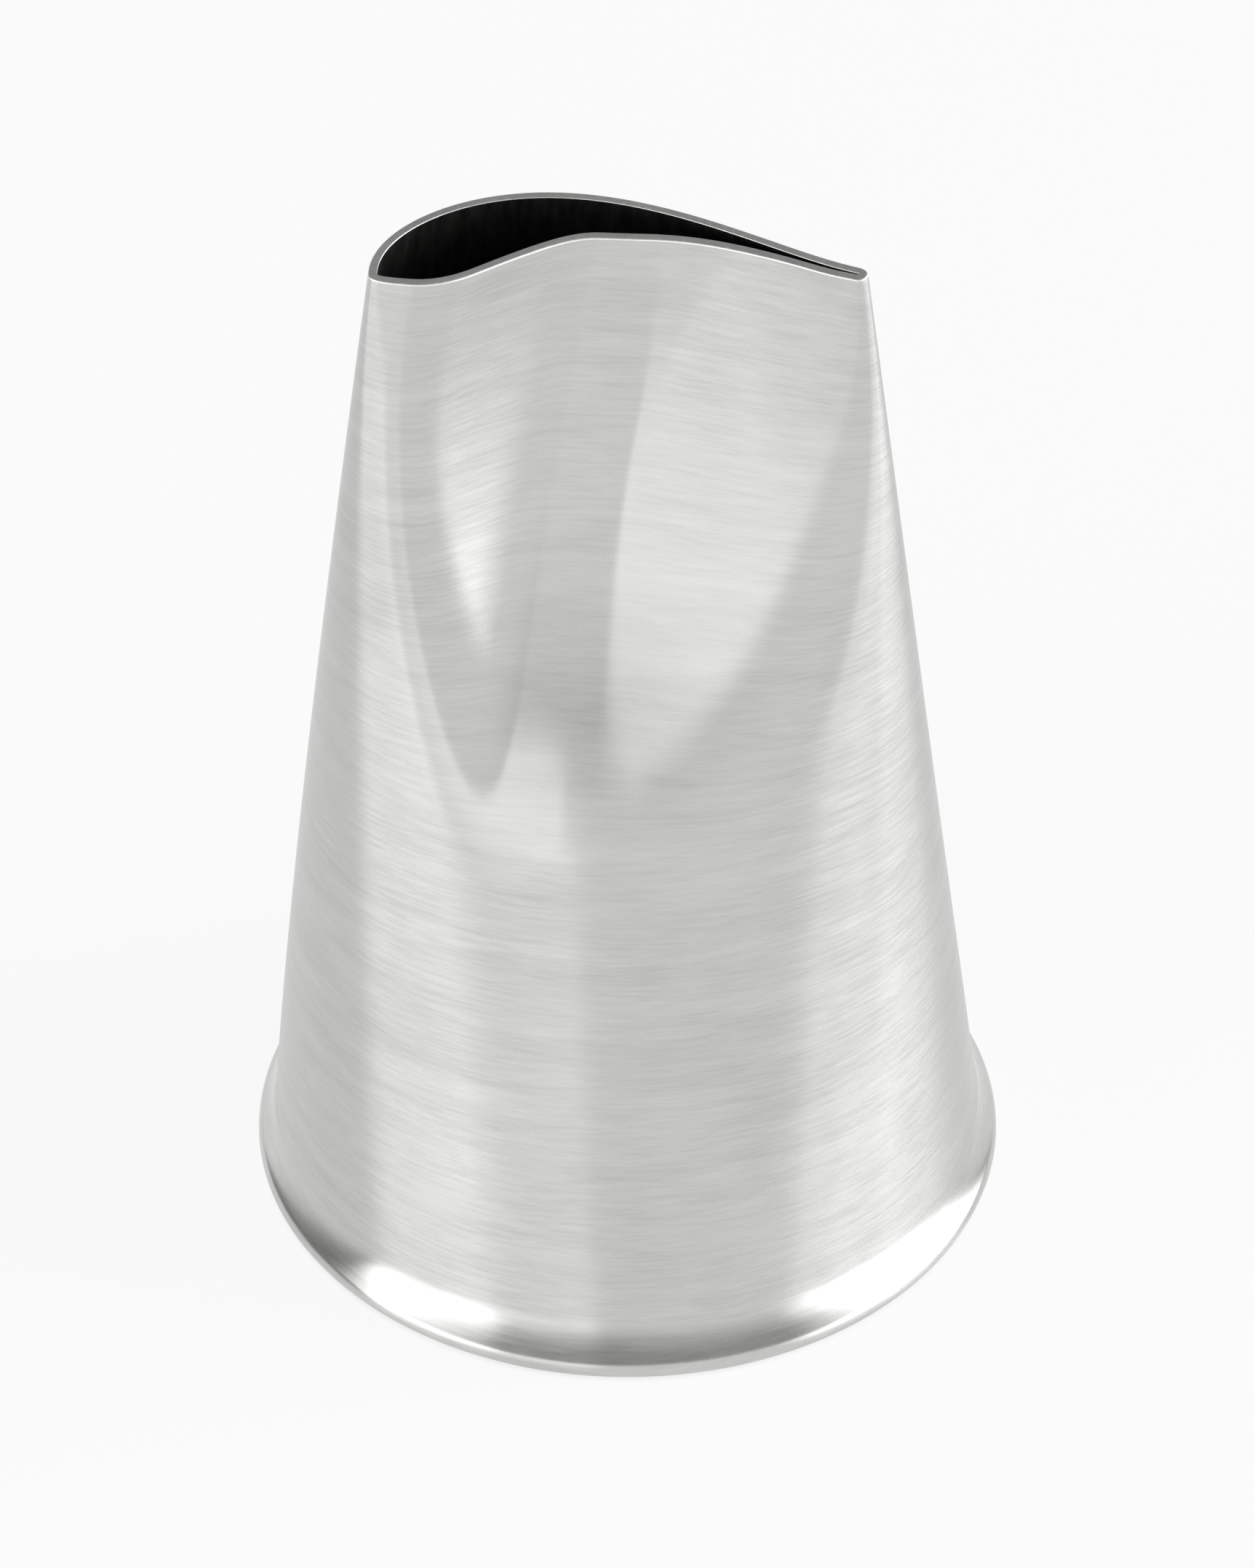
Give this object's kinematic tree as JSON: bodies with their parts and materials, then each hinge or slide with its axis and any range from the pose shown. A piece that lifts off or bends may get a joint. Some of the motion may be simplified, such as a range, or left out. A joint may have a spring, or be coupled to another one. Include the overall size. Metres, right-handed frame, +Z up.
{
  "type": "piping nozzle",
  "caption": "Seamless tapered steel piping nozzle: round base with a rolled rim, flattened to a curved petal slot for squeezing out icing.",
  "frame": {"origin": "middle of the round base, on the plane that the rolled rim stands on", "axes": "+Z up from the base to the outlet, +X along the slot towards its thin tail, +Y towards the arched back wall"},
  "size_m": [0.018, 0.018, 0.0271],
  "materials": {
    "brushed_sheet": "thin stainless sheet, finely brushed round the axis, satin bright"
  },
  "bodies": {
    "root": {"nozzle_shell": "brushed_sheet"}
  },
  "joints": []
}
